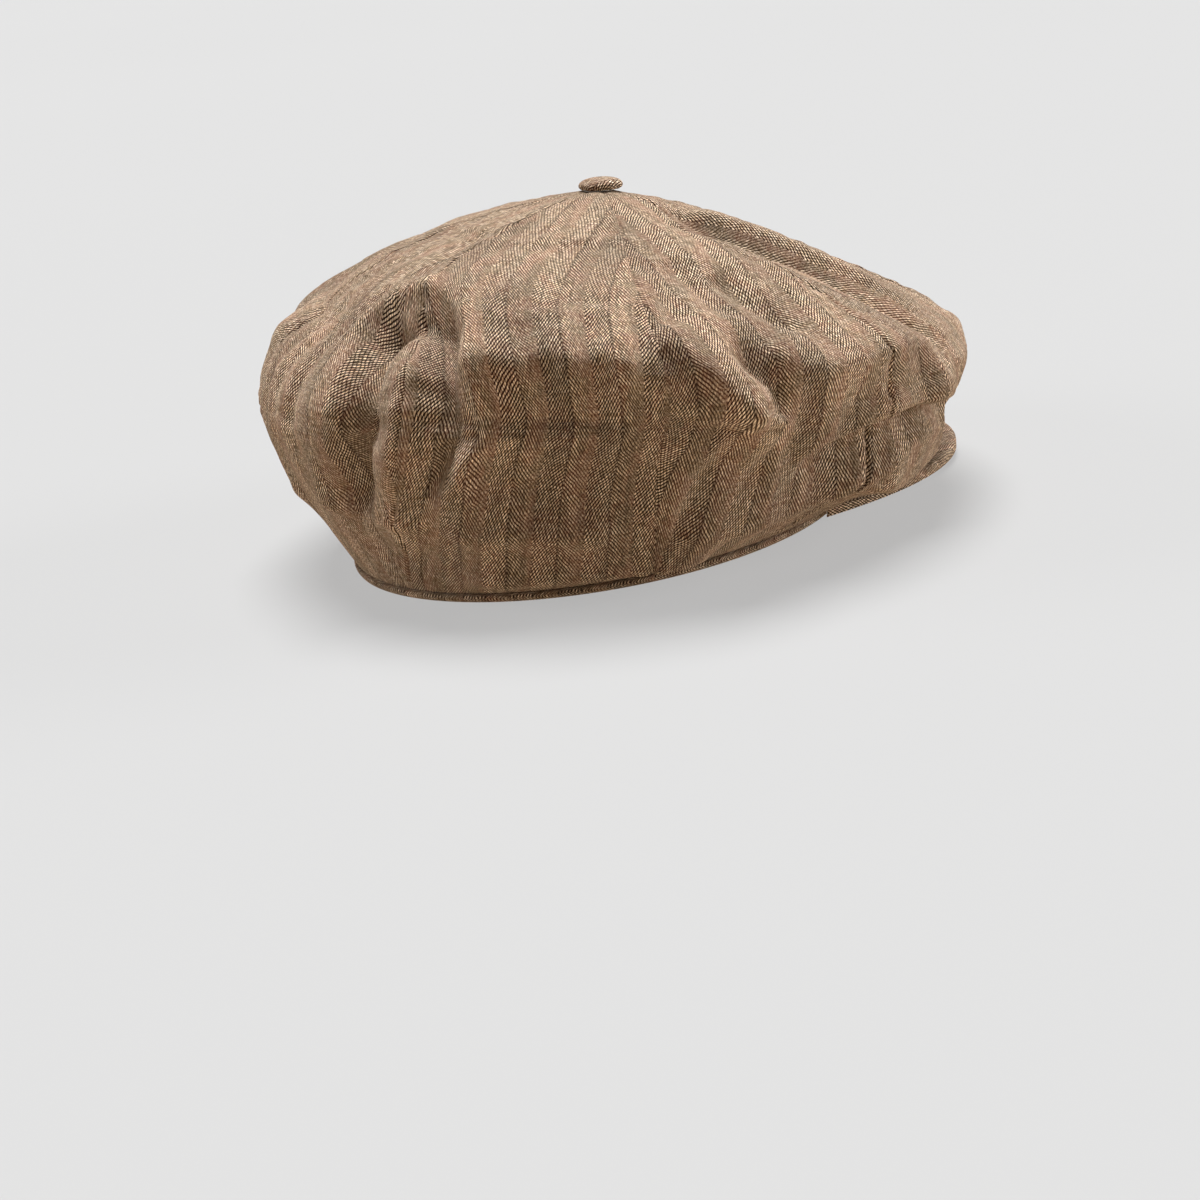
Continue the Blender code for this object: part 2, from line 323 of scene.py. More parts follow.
def fold_heights(points, normals, folds):
    """How far the folds push each grid point outwards, in metres."""
    flat = points.reshape(-1, 3).astype(np.float32)
    outward = normals.reshape(-1, 3).astype(np.float32)
    total = np.zeros(len(flat), np.float32)
    for fold in folds:
        path = fold.path().astype(np.float32)
        reach = FOLD_REACH * max(fold.right, fold.left) * MM
        low, high = path.min(axis=0) - reach, path.max(axis=0) + reach
        near = np.nonzero(((flat > low) & (flat < high)).all(axis=1))[0]
        closest = np.linalg.norm(flat[near][:, None] - path, axis=-1).argmin(axis=1)
        offset = flat[near] - path[closest]
        along = directions(path)[closest]
        hand = np.einsum("ij,ij->i", offset, np.cross(along, outward[near]))
        ahead = np.einsum("ij,ij->i", offset, along)
        beyond = (closest == 0) | (closest == len(path) - 1)
        apart = np.linalg.norm(offset - along * np.where(beyond, 0, ahead)[:, None], axis=1)
        share = smooth_step(-SIDE_BLEND, SIDE_BLEND, hand)
        width = (fold.left + (fold.right - fold.left) * share) * MM
        tip = CREST_ROUNDING * width
        shape = np.exp(-(np.sqrt(apart ** 2 + tip ** 2) - tip) / width)
        shape *= 1 - smooth_step(FADE_START, 1.0, apart / reach)
        if fold.ends:
            place = closest / (len(path) - 1)
            shape *= smooth_step(0, fold.ends, place + END_MARGIN)
            shape *= smooth_step(0, fold.ends, 1 + END_MARGIN - place)
        total[near] += fold.height * MM * shape
    return total.reshape(points.shape[:2])


RIGHT_SIDE_FOLDS = [Fold(*fold) for fold in (
    # The back right panel breaks from its lit top into a steep wall.
    ([(214, 77), (220, 74), (225, 75), (229.5, 73), (234, 75.5), (238, 74), (243, 78), (249, 80)],
     8.5, 4.5, 22),
    ([(216, 90), (228, 90), (240, 94), (251, 104)], -11.5, 32, 8),
    # Upright ripples over that break and down the wall.
    ([(225, 64), (225.5, 78), (226, 100)], -3.4, 3.5, 3.5),
    ([(230.5, 70), (230.5, 100), (229, 145)], -2.6, 3, 3),
    ([(233, 66), (233, 105), (232, 145)], 2.6, 3, 3),
    ([(236.5, 62), (236.5, 85), (236, 150)], -4, 3.5, 3),
    ([(241, 68), (241.5, 105), (240, 145)], 2.8, 4, 3),
    ([(245, 70), (245, 110), (243, 150)], -3.2, 3.5, 3.5),
    ([(252, 105), (251, 125), (247, 155)], 2, 4, 4),
    ([(258, 110), (257, 130), (252, 160)], -2.2, 4, 4),
    ([(270, 100), (268, 120), (262, 150)], -2.2, 4, 5),
    ([(281, 95), (280, 115), (276, 145)], -2.2, 4, 5),
    # The hollow round the left seam: its brow, two valleys and a lit middle.
    ([(187, 70), (191, 59), (198, 54.5), (205, 55), (211, 60), (215.5, 70)], 5, 3, 14),
    ([(197, 64), (202, 61.5), (208, 62.5)], -8, 7, 3.5, 0),
    ([(196.5, 65), (197.5, 73), (199, 84), (199, 100), (196, 128), (193, 144)], -12, 6, 4, 0.1),
    ([(210, 60), (213, 74), (214.3, 88), (215, 100), (213, 120), (209, 138)], -9.5, 4, 4, 0.22),
    ([(206.5, 70), (207, 82), (206.3, 95), (203.6, 120), (200.5, 136)], 3, 5, 5),
    ([(216.5, 70), (219.5, 83), (220.4, 95), (218.8, 110), (216, 124), (211, 140)], 5.5, 4, 4, 0.22),
    ([(223.5, 80), (225, 95), (223, 120), (220, 140)], -3.5, 3.5, 3.5),
    ([(191.5, 66), (193, 75), (194.5, 86), (194.5, 100), (191, 128)], 5, 9, 3),
    # Creases down the far left edge.
    ([(190, 52), (185, 64), (181, 80), (179, 100), (180, 130)], -5, 4, 6, 0.4),
    ([(181, 50), (177, 64), (173, 80), (171, 100), (172, 130)], -3.5, 4, 6, 0.4),
    ([(172, 56), (168, 70), (165, 90), (166, 120)], -3, 4, 6, 0.4),
    # The tongue: the top runs down to a point over the steep side.
    ([(247, 68), (252, 78), (257.5, 89), (262, 103)], 7.5, 3.5, 12),
    ([(246, 86), (252, 97), (258, 115)], -8, 16, 4, 0.3),
    ([(259, 72), (263.5, 82), (266, 92), (265.5, 104)], -8, 4.5, 5, 0.3),
    # The right panel's own break, and the wall under it.
    ([(264, 74), (268, 79), (274, 83), (282, 82), (292, 80), (306, 82)], 5, 5, 18),
    ([(267, 98), (277, 98), (288, 98), (300, 100)], -8, 26, 9),
    # The deep fold down the front right, and its neighbours.
    ([(291, 22), (296, 36), (299, 50), (301, 65), (306, 88)], -6.5, 8, 3),
    ([(301, 26), (304, 40), (306, 55), (309, 75)], 2.5, 3, 10),
    ([(279, 26), (284, 36), (287, 48)], -4, 4, 4),
    ([(265, 50), (269, 60), (274, 71)], -4.5, 5, 5),
    ([(256, 45), (259, 55), (262, 65)], -2, 5, 5),
    ([(228, 35), (230, 50), (231, 62)], -1.5, 6, 6),
    ([(184, 30), (190, 42), (193, 52)], -2.5, 6, 6),
    # The side slants in to a nearly upright strip above the hem.
    ([(290, 138), (275, 135), (255, 134), (238, 134), (222, 136)], -7, 24, 13),
    ([(264, 182), (250, 180), (230, 180), (212, 180)], 6, 9, 7, 0.3),
    # Rolls above the hem.
    ([(212, 152), (222, 153), (232, 155), (242, 156)], 3.5, 5, 6),
    ([(181, 143), (190, 147), (199, 147), (207, 146)], 4, 4, 7),
    ([(187, 162), (198, 165), (209, 168)], -2, 5, 5),
    ([(252, 158), (264, 162), (278, 158), (292, 150)], 3.5, 5, 8),
    # The front right sags over a slanting crease and hangs over the peak's root.
    ([(271, 139), (278, 131), (286, 122), (294, 117), (302, 117), (310, 120)], 5, 2.5, 13, 0.3),
    ([(274, 144), (282, 137), (289, 130), (295, 127.5), (303, 127), (314, 131)], -8.5, 5, 3, 0.2),
    ([(280, 154), (288, 146), (296, 138), (305, 136), (312, 140)], 4, 3, 4),
    ([(289, 150), (299, 154), (308, 157), (315, 154), (320, 148)], 12, 6, 9),
)]

OTHER_FOLDS = [Fold(*fold) for fold in (
    ([(322, 84), (340, 86), (360, 84), (378, 86), (396, 85)], 4, 8, 20),
    ([(330, 100), (350, 102), (372, 100), (392, 102)], -4, 12, 8),
    ([(322, 144), (334, 146), (348, 148), (360, 148), (372, 148), (384, 147), (396, 144)],
     -9, 9, 9, 0.12),
    ([(136, 60), (152, 62), (168, 62), (182, 60)], -4, 13, 16),
    ([(124, 76), (136, 72), (148, 73), (158, 78)], 3.5, 6, 20),
    ([(160, 60), (158, 80), (157, 105)], -3, 5, 8),
    ([(146, 66), (144, 85), (144, 110)], -4, 5, 8),
    ([(126, 150), (140, 149), (154, 150), (168, 148)], 3.5, 6, 8),
    ([(350, 35), (352, 55), (349, 80)], -4.5, 7, 7),
    ([(372, 45), (370, 60), (374, 80)], -3.5, 6, 8),
    ([(330, 50), (333, 65), (331, 84)], -3, 6, 6),
)]

# Folds that start farther back than this angle have no twin on the left.
BACK_LIMIT = 222
VALLEY_LIMIT = 15 * MM
RIDGE_LIMIT = 10 * MM
# Distances from button and lower edge where folds begin and are free.
BUTTON_HOLD = (10 * MM, 32 * MM)
EDGE_HOLD = (1 * MM, 12 * MM)


def fold_field(points, normals):
    """How far all folds push each crown point outwards, in metres."""
    mirrored = [fold.mirrored() for fold in RIGHT_SIDE_FOLDS if fold.line[0][0] > BACK_LIMIT]
    heights = fold_heights(points, normals, RIGHT_SIDE_FOLDS + mirrored + OTHER_FOLDS)
    limit = np.where(heights < 0, VALLEY_LIMIT, RIDGE_LIMIT)
    heights = limit * np.tanh(heights / limit)
    from_button = np.linalg.norm(points - points[0].mean(axis=0), axis=-1)
    heights *= smooth_step(*BUTTON_HOLD, from_button)
    from_edge = np.linalg.norm(points - points[-1:], axis=-1)
    return heights * smooth_step(*EDGE_HOLD, from_edge)


# ---- mesh tools

SHARP_ANGLE = math.radians(60)


def add_object(name, data):
    made = bpy.data.objects.new(name, data)
    bpy.context.scene.collection.objects.link(made)
    return made


def add_mesh(name, points, faces):
    mesh = bpy.data.meshes.new(name)
    mesh.from_pydata(points, [], faces)
    return add_object(name, mesh)


def add_cloth(name, points, faces, weave, weave_faces):
    """A smooth-shaded piece with its weave coordinates, in metres."""
    piece = add_mesh(name, points.reshape(-1, 3).tolist(), faces.tolist())
    layer = piece.data.uv_layers.new(name="weave")
    corners = weave.reshape(-1, 2)[weave_faces.reshape(-1)]
    layer.data.foreach_set("uv", corners.astype(np.float32).reshape(-1))
    piece.data.shade_smooth()
    piece.data.set_sharp_from_angle(angle=SHARP_ANGLE)
    return piece


def numbered(rows, columns):
    """A grid of vertex numbers."""
    return np.arange(rows * columns).reshape(rows, columns)


def grid_faces(index):
    """Quads of a grid of vertex numbers, facing out of the cap."""
    corners = index[:-1, :-1], index[1:, :-1], index[1:, 1:], index[:-1, 1:]
    return np.stack(corners, axis=-1).reshape(-1, 4)


def closed_shell(name, outer, inner, weave):
    """A closed sheet of cloth between two grids of points.

    A sheet that meets itself has one more column in its weave.
    """
    index = numbered(*outer.shape[:2])
    to_inner = index.size
    joined = weave.shape[1] > outer.shape[1]
    if joined:
        index = wrapped(index)
    rims = [(0, slice(None), 1), (-1, slice(None), -1)]
    if not joined:
        rims += [(slice(None), 0, -1), (slice(None), -1, 1)]

    def all_faces(index, to_inner):
        faces = [grid_faces(index), grid_faces(index + to_inner)[:, ::-1]]
        for row, column, order in rims:
            line = index[row, column][::order]
            start, end = line[:-1], line[1:]
            faces.append(np.stack([start, end, end + to_inner, start + to_inner], axis=-1))
        return np.concatenate(faces)

    points = np.concatenate([outer, inner])
    weave_faces = all_faces(numbered(*index.shape), 0)
    return add_cloth(name, points, all_faces(index, to_inner), weave, weave_faces)


def panel_weave(points):
    """Flat cloth coordinates of a panel: across from its middle, and down."""
    centre = points.shape[1] // 2
    across = running_length(points, axis=1)
    across -= across[:, centre:centre + 1]
    down = running_length(points, axis=0)[:, centre]
    across = soften(across, 400)
    half = soften((across[:, -1] - across[:, 0]) / 2, 300)
    spread = soften(np.gradient(half, down), 200) / (2 * half)
    drop = down[:, None] - across ** 2 * spread[:, None]
    return np.stack([across, -drop], axis=-1)


# ---- cloth simulation

SIM_ROUND = 256
SIM_DOWN = 84
SIM_GRID = (np.arange(SIM_ROUND) * PANELS / SIM_ROUND, np.linspace(0, 1, SIM_DOWN))
SIM_FRAMES = 24
# How far a point may settle, and how firmly each is held.
SIM_LIMIT = 7 * MM
SIM_HOLD = 0.2
SIM_GRAVITY = 0.4
SIM_CLOTH = {
    "quality": 6,
    "mass": 0.25,
    "air_damping": 4,
    "tension_stiffness": 12,
    "compression_stiffness": 12,
    "shear_stiffness": 6,
    "bending_stiffness": 20,
    "shrink_min": -0.04,
    "shrink_max": -0.04,
}
# Softening passes that round the crown, and that part sag from creases.
ROUNDING = 12
SAG_PASSES = 60
# How much of the creases is kept.
CREASE_SHARE = 0.35


def drape(points, hold):
    """Settle a closed-round grid of cloth; hold (0 to 1) ties each point to its place."""
    faces = grid_faces(wrapped(numbered(*hold.shape)))
    sheet = add_mesh("drape", points.reshape(-1, 3).tolist(), faces.tolist())
    group = sheet.vertex_groups.new(name="held")
    levels = np.round(hold.reshape(-1), 2)
    for level in np.unique(levels):
        members = np.nonzero(levels == level)[0].tolist()
        group.add(members, float(level), "REPLACE")

    cloth = sheet.modifiers.new("cloth", "CLOTH")
    for key, value in SIM_CLOTH.items():
        setattr(cloth.settings, key, value)
    cloth.settings.vertex_group_mass = group.name
    cloth.settings.effector_weights.gravity = SIM_GRAVITY
    cloth.collision_settings.use_collision = False
    scene = bpy.context.scene
    for timed in (cloth.point_cache, scene):
        timed.frame_start = 1
        timed.frame_end = SIM_FRAMES
    for number in range(1, SIM_FRAMES + 1):
        scene.frame_set(number)
    settled = sheet.evaluated_get(bpy.context.evaluated_depsgraph_get())
    result = np.zeros(points.size)
    settled.data.vertices.foreach_get("co", result)
    bpy.data.objects.remove(sheet, do_unlink=True)
    scene.frame_set(1)

    moved = result.reshape(points.shape) - points
    far = np.linalg.norm(moved, axis=-1, keepdims=True)
    return moved * np.minimum(1, SIM_LIMIT / np.maximum(far, 1e-9))


def settled_folds():
    """How folds and simulation move a coarse grid of the crown."""
    smooth, fall = cloth_grid(*SIM_GRID)
    rounded = soften(smooth, ROUNDING)
    rounded[[0, -1]] = smooth[[0, -1]]
    normals = unit(soften_round(grid_normals(smooth, wrap=True), 2 * ROUNDING, ROUNDING))
    folded = rounded + normals * fold_field(rounded, normals)[..., None]
    moved = folded - smooth
    grip = 1 - smooth_step(0.06, 0.16, fall) + smooth_step(1.9, 1.97, fall)
    settled = drape(folded, np.clip(SIM_HOLD + grip, 0, 1))
    creases = settled - soften_round(settled, SAG_PASSES, SAG_PASSES)
    free = smooth_step(0.14, 0.40, fall) * (1 - smooth_step(1.25, 1.7, fall))
    return moved + creases * (CREASE_SHARE * free)[..., None]


# ---- materials

class Nodes:
    """Short names for building the node tree of a material or a world."""

    def __init__(self, name, kind="materials"):
        self.owner = getattr(bpy.data, kind).new(name)
        self.owner.use_nodes = True
        self.tree = self.owner.node_tree

    def put(self, socket, value):
        """Link a socket or set its value; a colour is red, green, blue."""
        if hasattr(value, "is_linked"):
            self.tree.links.new(value, socket)
        elif socket.type == "RGBA":
            socket.default_value = (*value, 1)
        else:
            socket.default_value = value

    def node(self, kind, inputs=(), **settings):
        """A new node, with its inputs in order, or by name or number."""
        made = self.tree.nodes.new(kind)
        for key, value in settings.items():
            setattr(made, key, value)
        chosen = inputs if isinstance(inputs, dict) else dict(enumerate(inputs))
        for key, value in chosen.items():
            self.put(made.inputs[key], value)
        return made

    def math(self, operation, *values):
        return self.node("ShaderNodeMath", values, operation=operation).outputs[0]

    def times(self, first, second):
        return self.math("MULTIPLY", first, second)

    def linear(self, value, slope, start):
        """The value times slope, plus start."""
        return self.math("MULTIPLY_ADD", value, slope, start)

    def rest(self, share):
        """What a share leaves of 1."""
        return self.math("SUBTRACT", 1.0, share)

    def zigzag(self, value, top=0.5):
        """Up from 0 to top and down again as the value grows."""
        return self.math("PINGPONG", value, top)

    def crest(self, value):
        """0 at each whole number and 1 half way to the next."""
        return self.times(self.zigzag(self.math("FRACT", value)), 2.0)

    def mix(self, share, first, second, kind="RGBA"):
        """A colour between two others, or a number if the kind is FLOAT."""
        low, high, result = {"RGBA": (6, 7, 2), "FLOAT": (2, 3, 0)}[kind]
        inputs = {0: share, low: first, high: second}
        return self.node("ShaderNodeMix", inputs, data_type=kind).outputs[result]

    def ramp(self, value, low, high):
        """0 at low to 1 at high, smoothly."""
        inputs = {"Value": value, "From Min": low, "From Max": high}
        made = self.node("ShaderNodeMapRange", inputs, interpolation_type="SMOOTHSTEP")
        return made.outputs["Result"]

    def vector(self, *parts):
        return self.node("ShaderNodeCombineXYZ", parts).outputs[0]

    def noise(self, place, scale, detail=2.0, roughness=0.5):
        """Smooth noise at a place: a vector, or a tuple of its parts."""
        if isinstance(place, tuple):
            place = self.vector(*place)
        inputs = {"Vector": place, "Scale": scale, "Detail": detail, "Roughness": roughness}
        return self.node("ShaderNodeTexNoise", inputs).outputs["Fac"]

    def cloth(self, step=MM):
        """Distances across and along the cloth, counted in steps."""
        weave = self.node("ShaderNodeUVMap", uv_map="weave").outputs[0]
        split = self.node("ShaderNodeSeparateXYZ", (weave,))
        return [self.times(split.outputs[axis], 1 / step) for axis in (0, 1)]

    def place(self):
        return self.node("ShaderNodeTexCoord").outputs["Object"]

    def finish(self, colour, shade, roughness, relief=None, depth=0.0, **values):
        """The material in this colour times shade, with relief and other shader inputs."""
        scale = {0: colour, "Scale": shade}
        tinted = self.node("ShaderNodeVectorMath", scale, operation="SCALE").outputs[0]
        values.update(Base_Color=tinted, Roughness=roughness)
        if relief:
            inputs = {"Height": relief, "Distance": depth}
            values["Normal"] = self.node("ShaderNodeBump", inputs).outputs[0]
        shader = self.tree.nodes["Principled BSDF"]
        for key, value in values.items():
            self.put(shader.inputs[key.replace("_", " ")], value)
        return self.owner


PALE_YARN = (1.0, 0.8, 0.6)
BEIGE_YARN = (0.72, 0.53, 0.35)
BROWN_YARN = (0.145, 0.055, 0.032)
OLIVE_YARN = (0.085, 0.049, 0.024)
DARK_YARN = (0.01, 0.004, 0.002)
SHEEN_TINT = (0.9, 0.75, 0.6)

# The herringbone's columns and twill lines, in mm.
COLUMN_WIDTH = 8.7
TWILL_PERIOD = 1.65
TWILL_SLOPE = 1.45
# Keeps the count positive, with a column in the panel's middle.
COLUMNS_BEFORE = 400.5


def tweed(name, seed=0.0):
    """Wool herringbone: columns of beaded twill lines that turn about at each column."""
    n = Nodes(name)
    across, along = n.cloth()
    flat = n.vector(across, along, seed)

    # Hand-spun yarns wander a little from their straight lines.
    wander = n.math("SUBTRACT", n.noise(flat, 0.16), 0.5)
    along = n.linear(wander, 2.0, along)
    sway = n.math("SUBTRACT", n.noise((along, across, seed + 3), 0.1), 0.5)
    across = n.linear(sway, 1.4, across)

    shifted = n.math("ADD", across, COLUMNS_BEFORE * COLUMN_WIDTH)
    counted = n.math("DIVIDE", shifted, COLUMN_WIDTH)
    number = n.math("FLOOR", counted)
    column = n.times(n.zigzag(counted, 1.0), COLUMN_WIDTH)
    leaning = n.times(n.math("FRACT", n.linear(number, 0.5, 0.5)), 2.0)

    climb = n.math("DIVIDE", n.linear(column, TWILL_SLOPE, along), TWILL_PERIOD)
    line = n.math("FLOOR", climb)
    fray = n.noise(flat, 1.9, 3, 0.7)
    beads = n.linear(fray, 0.9, n.linear(column, 1.3, n.times(line, 0.5)))
    bead = n.crest(beads)
    each = n.vector(line, n.math("FLOOR", beads), number)
    luck = n.node("ShaderNodeTexWhiteNoise", {"Vector": each}).outputs["Value"]

    # Lines that lean one way lie bold on the surface, the others finer.
    ragged = n.linear(n.math("SUBTRACT", fray, 0.5), 0.7, n.crest(climb))
    beaded = n.mix(n.ramp(bead, 0.12, 0.62), n.linear(leaning, 0.4, 0.1), 1.0, "FLOAT")
    floats = n.times(n.ramp(ragged, 0.3, 0.72), beaded)
    floats = n.times(floats, n.linear(leaning, -0.22, 1.0))
    floats = n.times(floats, n.linear(luck, 1.0, 0.4))

    # A leaning column is clear beside its left edge and frays out towards its right.
    place = n.math("DIVIDE", column, COLUMN_WIDTH)
    frayed = n.times(n.times(leaning, 0.62), n.ramp(place, 0.25, 1.0))
    speck = n.ramp(n.noise((across, along, seed + 2), 1.5, 3, 0.7), 0.38, 0.66)
    floats = n.mix(frayed, floats, n.times(speck, 0.58), "FLOAT")
    blot = n.ramp(n.noise((across, along, seed + 4), 0.55, 3, 0.6), 0.33, 0.5)
    floats = n.times(floats, n.linear(blot, 0.4, 0.6))

    # Warp streaks down the cloth, weft patches across it, and a tone for each column.
    streak = n.noise((across, n.times(along, 0.065), seed), 0.62, 3, 0.6)
    fine_streak = n.noise((across, n.times(along, 0.12), seed + 5), 2.2)
    tone = n.noise((n.times(number, 5.7), n.times(along, 0.012)), 1.0)
    patch = n.noise((across, n.times(along, 0.55), seed + 9), 0.16, 3, 0.6)
    slub = n.noise((n.times(across, 0.12), along, seed), 1.1, 3, 0.6)

    pale = n.mix(n.ramp(slub, 0.38, 0.62), BEIGE_YARN, PALE_YARN)
    ground = n.mix(n.ramp(patch, 0.4, 0.62), OLIVE_YARN, BROWN_YARN)
    open_place = n.math("MINIMUM", ragged, n.math("ADD", bead, 0.12))
    gap = n.times(n.rest(n.ramp(open_place, 0.1, 0.5)), n.linear(leaning, -0.25, 1.0))
    gap = n.mix(frayed, gap, n.times(n.rest(speck), 0.45), "FLOAT")
    join = n.rest(n.ramp(place, 0.0, 0.11))
    gap = n.math("MAXIMUM", gap, n.times(join, 0.46))
    colour = n.mix(gap, n.mix(floats, ground, pale), DARK_YARN)

    shade = n.linear(n.ramp(streak, 0.34, 0.64), 0.32, 0.87)
    shade = n.times(shade, n.linear(n.ramp(tone, 0.4, 0.6), 0.28, 0.88))
    shade = n.times(shade, n.linear(fine_streak, 0.4, 0.82))
    relief = n.math("ADD", floats, n.times(fray, 0.45))
    return n.finish(
        colour, shade, 0.92, relief, 0.2 * MM,
        Specular_IOR_Level=0.12, Sheen_Weight=0.1, Sheen_Tint=SHEEN_TINT)


def plain_weave(name, colour, thread):
    """Threads crossing one over one, this many mm apart."""
    n = Nodes(name)
    across, along = n.cloth(thread * MM)
    over = n.zigzag(n.times(n.math("ADD", across, along), 0.5))
    ribs = n.times(n.zigzag(across), n.zigzag(along))
    height = n.math("ADD", over, n.times(ribs, 2.0))
    patch = n.noise((across, along), 0.08, 3)
    # Painted shade: the weave's low places are painted darker, as shade between the threads; the
    # patches vary the tone at random.
    shade = n.times(n.linear(height, 0.5, 0.8), n.linear(patch, 0.5, 0.75))
    return n.finish(
        colour, shade, 0.8, height, 0.12 * MM, Sheen_Weight=0.1, Specular_IOR_Level=0.3)


def satin(name, colour):
    """Smooth lining: very fine diagonal floats and a soft gloss."""
    n = Nodes(name)
    across, along = n.cloth()
    climb = n.linear(across, 1.7, along)
    floats = n.zigzag(n.math("DIVIDE", climb, 0.7))
    streak = n.noise((n.times(across, 0.06), along), 1.6, 3)
    # Painted shade: the sunk threads between the floats are painted darker; the streaks vary the
    # tone at random.
    shade = n.linear(floats, 0.4, n.linear(streak, 0.5, 0.6))
    relief = n.math("ADD", floats, streak)
    roughness = n.linear(streak, 0.25, 0.26)
    return n.finish(colour, shade, roughness, relief, 0.04 * MM, Specular_IOR_Level=0.5)


def moulded_plastic(name, colour):
    """Sheet plastic with a fine grain, hidden inside the peak."""
    n = Nodes(name)
    place = n.place()
    grain = n.noise(place, 900, 3)
    shade = n.linear(n.noise(place, 40), 0.15, 0.92)
    return n.finish(colour, shade, n.linear(grain, 0.2, 0.4), grain, 0.05 * MM)


def pressed_metal(name, colour):
    """Dull pressed metal with faint draw marks."""
    n = Nodes(name)
    place = n.place()
    marks = n.noise(place, 1500, 4)
    shade = n.linear(n.noise(place, 120), 0.3, 0.85)
    return n.finish(colour, shade, n.linear(marks, 0.3, 0.22), marks, 0.02 * MM, Metallic=1.0)


def studio_floor(name):
    """A warm bounce and glow that light the cap; the camera sees it plain and pale, its glow
    lightening the cap's shadow on it.
    """
    n = Nodes(name)
    shade = n.linear(n.noise(n.place(), 0.6), 0.04, 0.98)
    seen = n.node("ShaderNodeLightPath").outputs["Is Camera Ray"]
    # Painted light: the cap sees a warm floor that glows; the camera sees a grey one whose even glow
    # lightens the cap's shadow on it.
    colour = n.mix(seen, (0.26, 0.21, 0.16), (0.15, 0.15, 0.15))
    glow = n.mix(seen, (0.48, 0.39, 0.29), (0.432, 0.432, 0.432))
    return n.finish(
        colour, shade, 0.85, Specular_IOR_Level=0.2, Emission_Color=glow, Emission_Strength=1.0)


# ---- finishing a piece

# Where the real cloth bends when the peak is pressed down; pieces reaching forward of it are not
# tied to the crown.
BEND_START = (0, HEM_CENTRE_Y - 45 * MM, 0)


def dress(piece, material, slot, *replaced):
    """Finish a piece: it rides the crown, unless it reaches forward of the bend's start."""
    piece.data.materials.append(material)
    if replaced:
        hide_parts(*replaced)
    lowest = min(vertex.co.y for vertex in piece.data.vertices)
    if lowest < BEND_START[1]:
        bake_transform(piece)
    else:
        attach(piece, "crown")


# ---- crown and lining

PANEL_COLUMNS = 72
CROWN_ROWS = 176
# How much closer the columns stand at the seams.
CROWDING = 0.75

SEAM_DEPTH = 0.85 * MM
SEAM_WIDTH = 0.8 * MM
# The turned-in edges under the cloth lift it up to here, and stop there.
ALLOWANCE_ENDS = (4.5 * MM, 6.5 * MM)
ALLOWANCE_HEIGHT = 0.35 * MM
PUCKER_HEIGHT = 0.3 * MM
PUCKER_REACH = 6 * MM
# Puckers: size, wavelength over 2 pi, and shift from seam to seam.
PUCKERS = ((1.0, 1.35 * MM, 1.7), (0.6, 2.3 * MM, 4.1))
GATHERED_SEAMS = (0, 7)

# The cloth's unevenness: height, size and seed.
CLOTH_UNEVENNESS = ((0.45 * MM, 18 * MM, 1), (0.16 * MM, 6 * MM, 2))
# The last share of the rows, where the relief dies out.
FLAT_ROWS = 0.03


def panel_columns(panel, total):
    """The columns of a panel, with both its seams, out of all round the crown."""
    width = total // PANELS
    return np.arange(panel * width, (panel + 1) * width + 1) % total


def cut_panels(layer, outer, inner, flat, cloth, slot):
    """Cut a layer's sheet into its eight panels; flat gives their weave."""
    for panel, name in enumerate(PANEL_NAMES):
        inside = panel_columns(panel, outer.shape[1])
        piece = closed_shell(
            f"{layer}_cloth_{name}", outer[:, inside], inner[:, inside],
            panel_weave(flat[:, inside]))
        dress(piece, cloth, slot, f"{layer}_panel_{name}")


def seam_relief(points):
    """Grooves, pressed allowances and puckers along the seams of a crown grid."""
    relief = np.zeros(points.shape[:2])
    down = running_length(points, axis=0)
    for panel in range(PANELS):
        inside = panel_columns(panel, points.shape[1])
        across = running_length(points[:, inside], axis=1)
        depth = down[:, inside]
        total = np.zeros(across.shape)
        for seam, distance in ((panel, across), (panel + 1, across[:, -1:] - across)):
            groove = -SEAM_DEPTH * np.exp(-(distance / SEAM_WIDTH) ** 2)
            covered = 1 - smooth_step(*ALLOWANCE_ENDS, distance)
            gathered = 1.0 if seam % PANELS in GATHERED_SEAMS else 0.45
            ripple = sum(
                size * np.sin(depth / wave + shift * seam) for size, wave, shift in PUCKERS)
            pucker = PUCKER_HEIGHT * gathered * np.exp(-distance / PUCKER_REACH) * ripple
            total += groove + ALLOWANCE_HEIGHT * covered + pucker
        relief[:, inside] = total * (0.35 + 0.65 * smooth_step(9 * MM, 22 * MM, depth))
    return relief * smooth_step(0, 6 * MM, down[-1:] - down)


def build_crown(displaced, cloth):
    """The tweed panels, cut from one folded sheet."""
    share = np.arange(PANEL_COLUMNS) / PANEL_COLUMNS
    share = share - CROWDING * np.sin(TURN * share) / TURN
    rounds = np.concatenate([panel + share for panel in range(PANELS)])
    rows = np.linspace(0, 1, CROWN_ROWS)
    moved = cubic_sample(displaced, rows * (SIM_DOWN - 1)).transpose(1, 0, 2)
    moved = cubic_sample(moved, rounds * SIM_ROUND / PANELS, wrap=True).transpose(1, 0, 2)
    folded = cloth_grid(rounds, rows)[0] + moved
    relief = seam_relief(folded)
    for height, scale, seed in CLOTH_UNEVENNESS:
        relief = relief + height * roughness_of(folded, scale, seed)
    relief = relief * np.minimum((1 - rows) / FLAT_ROWS, 1)[:, None]
    outer = folded + grid_normals(folded, wrap=True) * relief[..., None]
    inner = outer - grid_normals(outer, wrap=True) * TWEED
    cut_panels("crown", outer, inner, folded, cloth, "tweed")


def lowest_nearby(values, reach):
    """The least value within this many steps, on a grid that runs round."""
    for _ in range(reach):
        for axis, wrap in ((1, True), (0, False)):
            values = np.minimum(values, np.minimum(*neighbours(values, axis, wrap)))
    return values


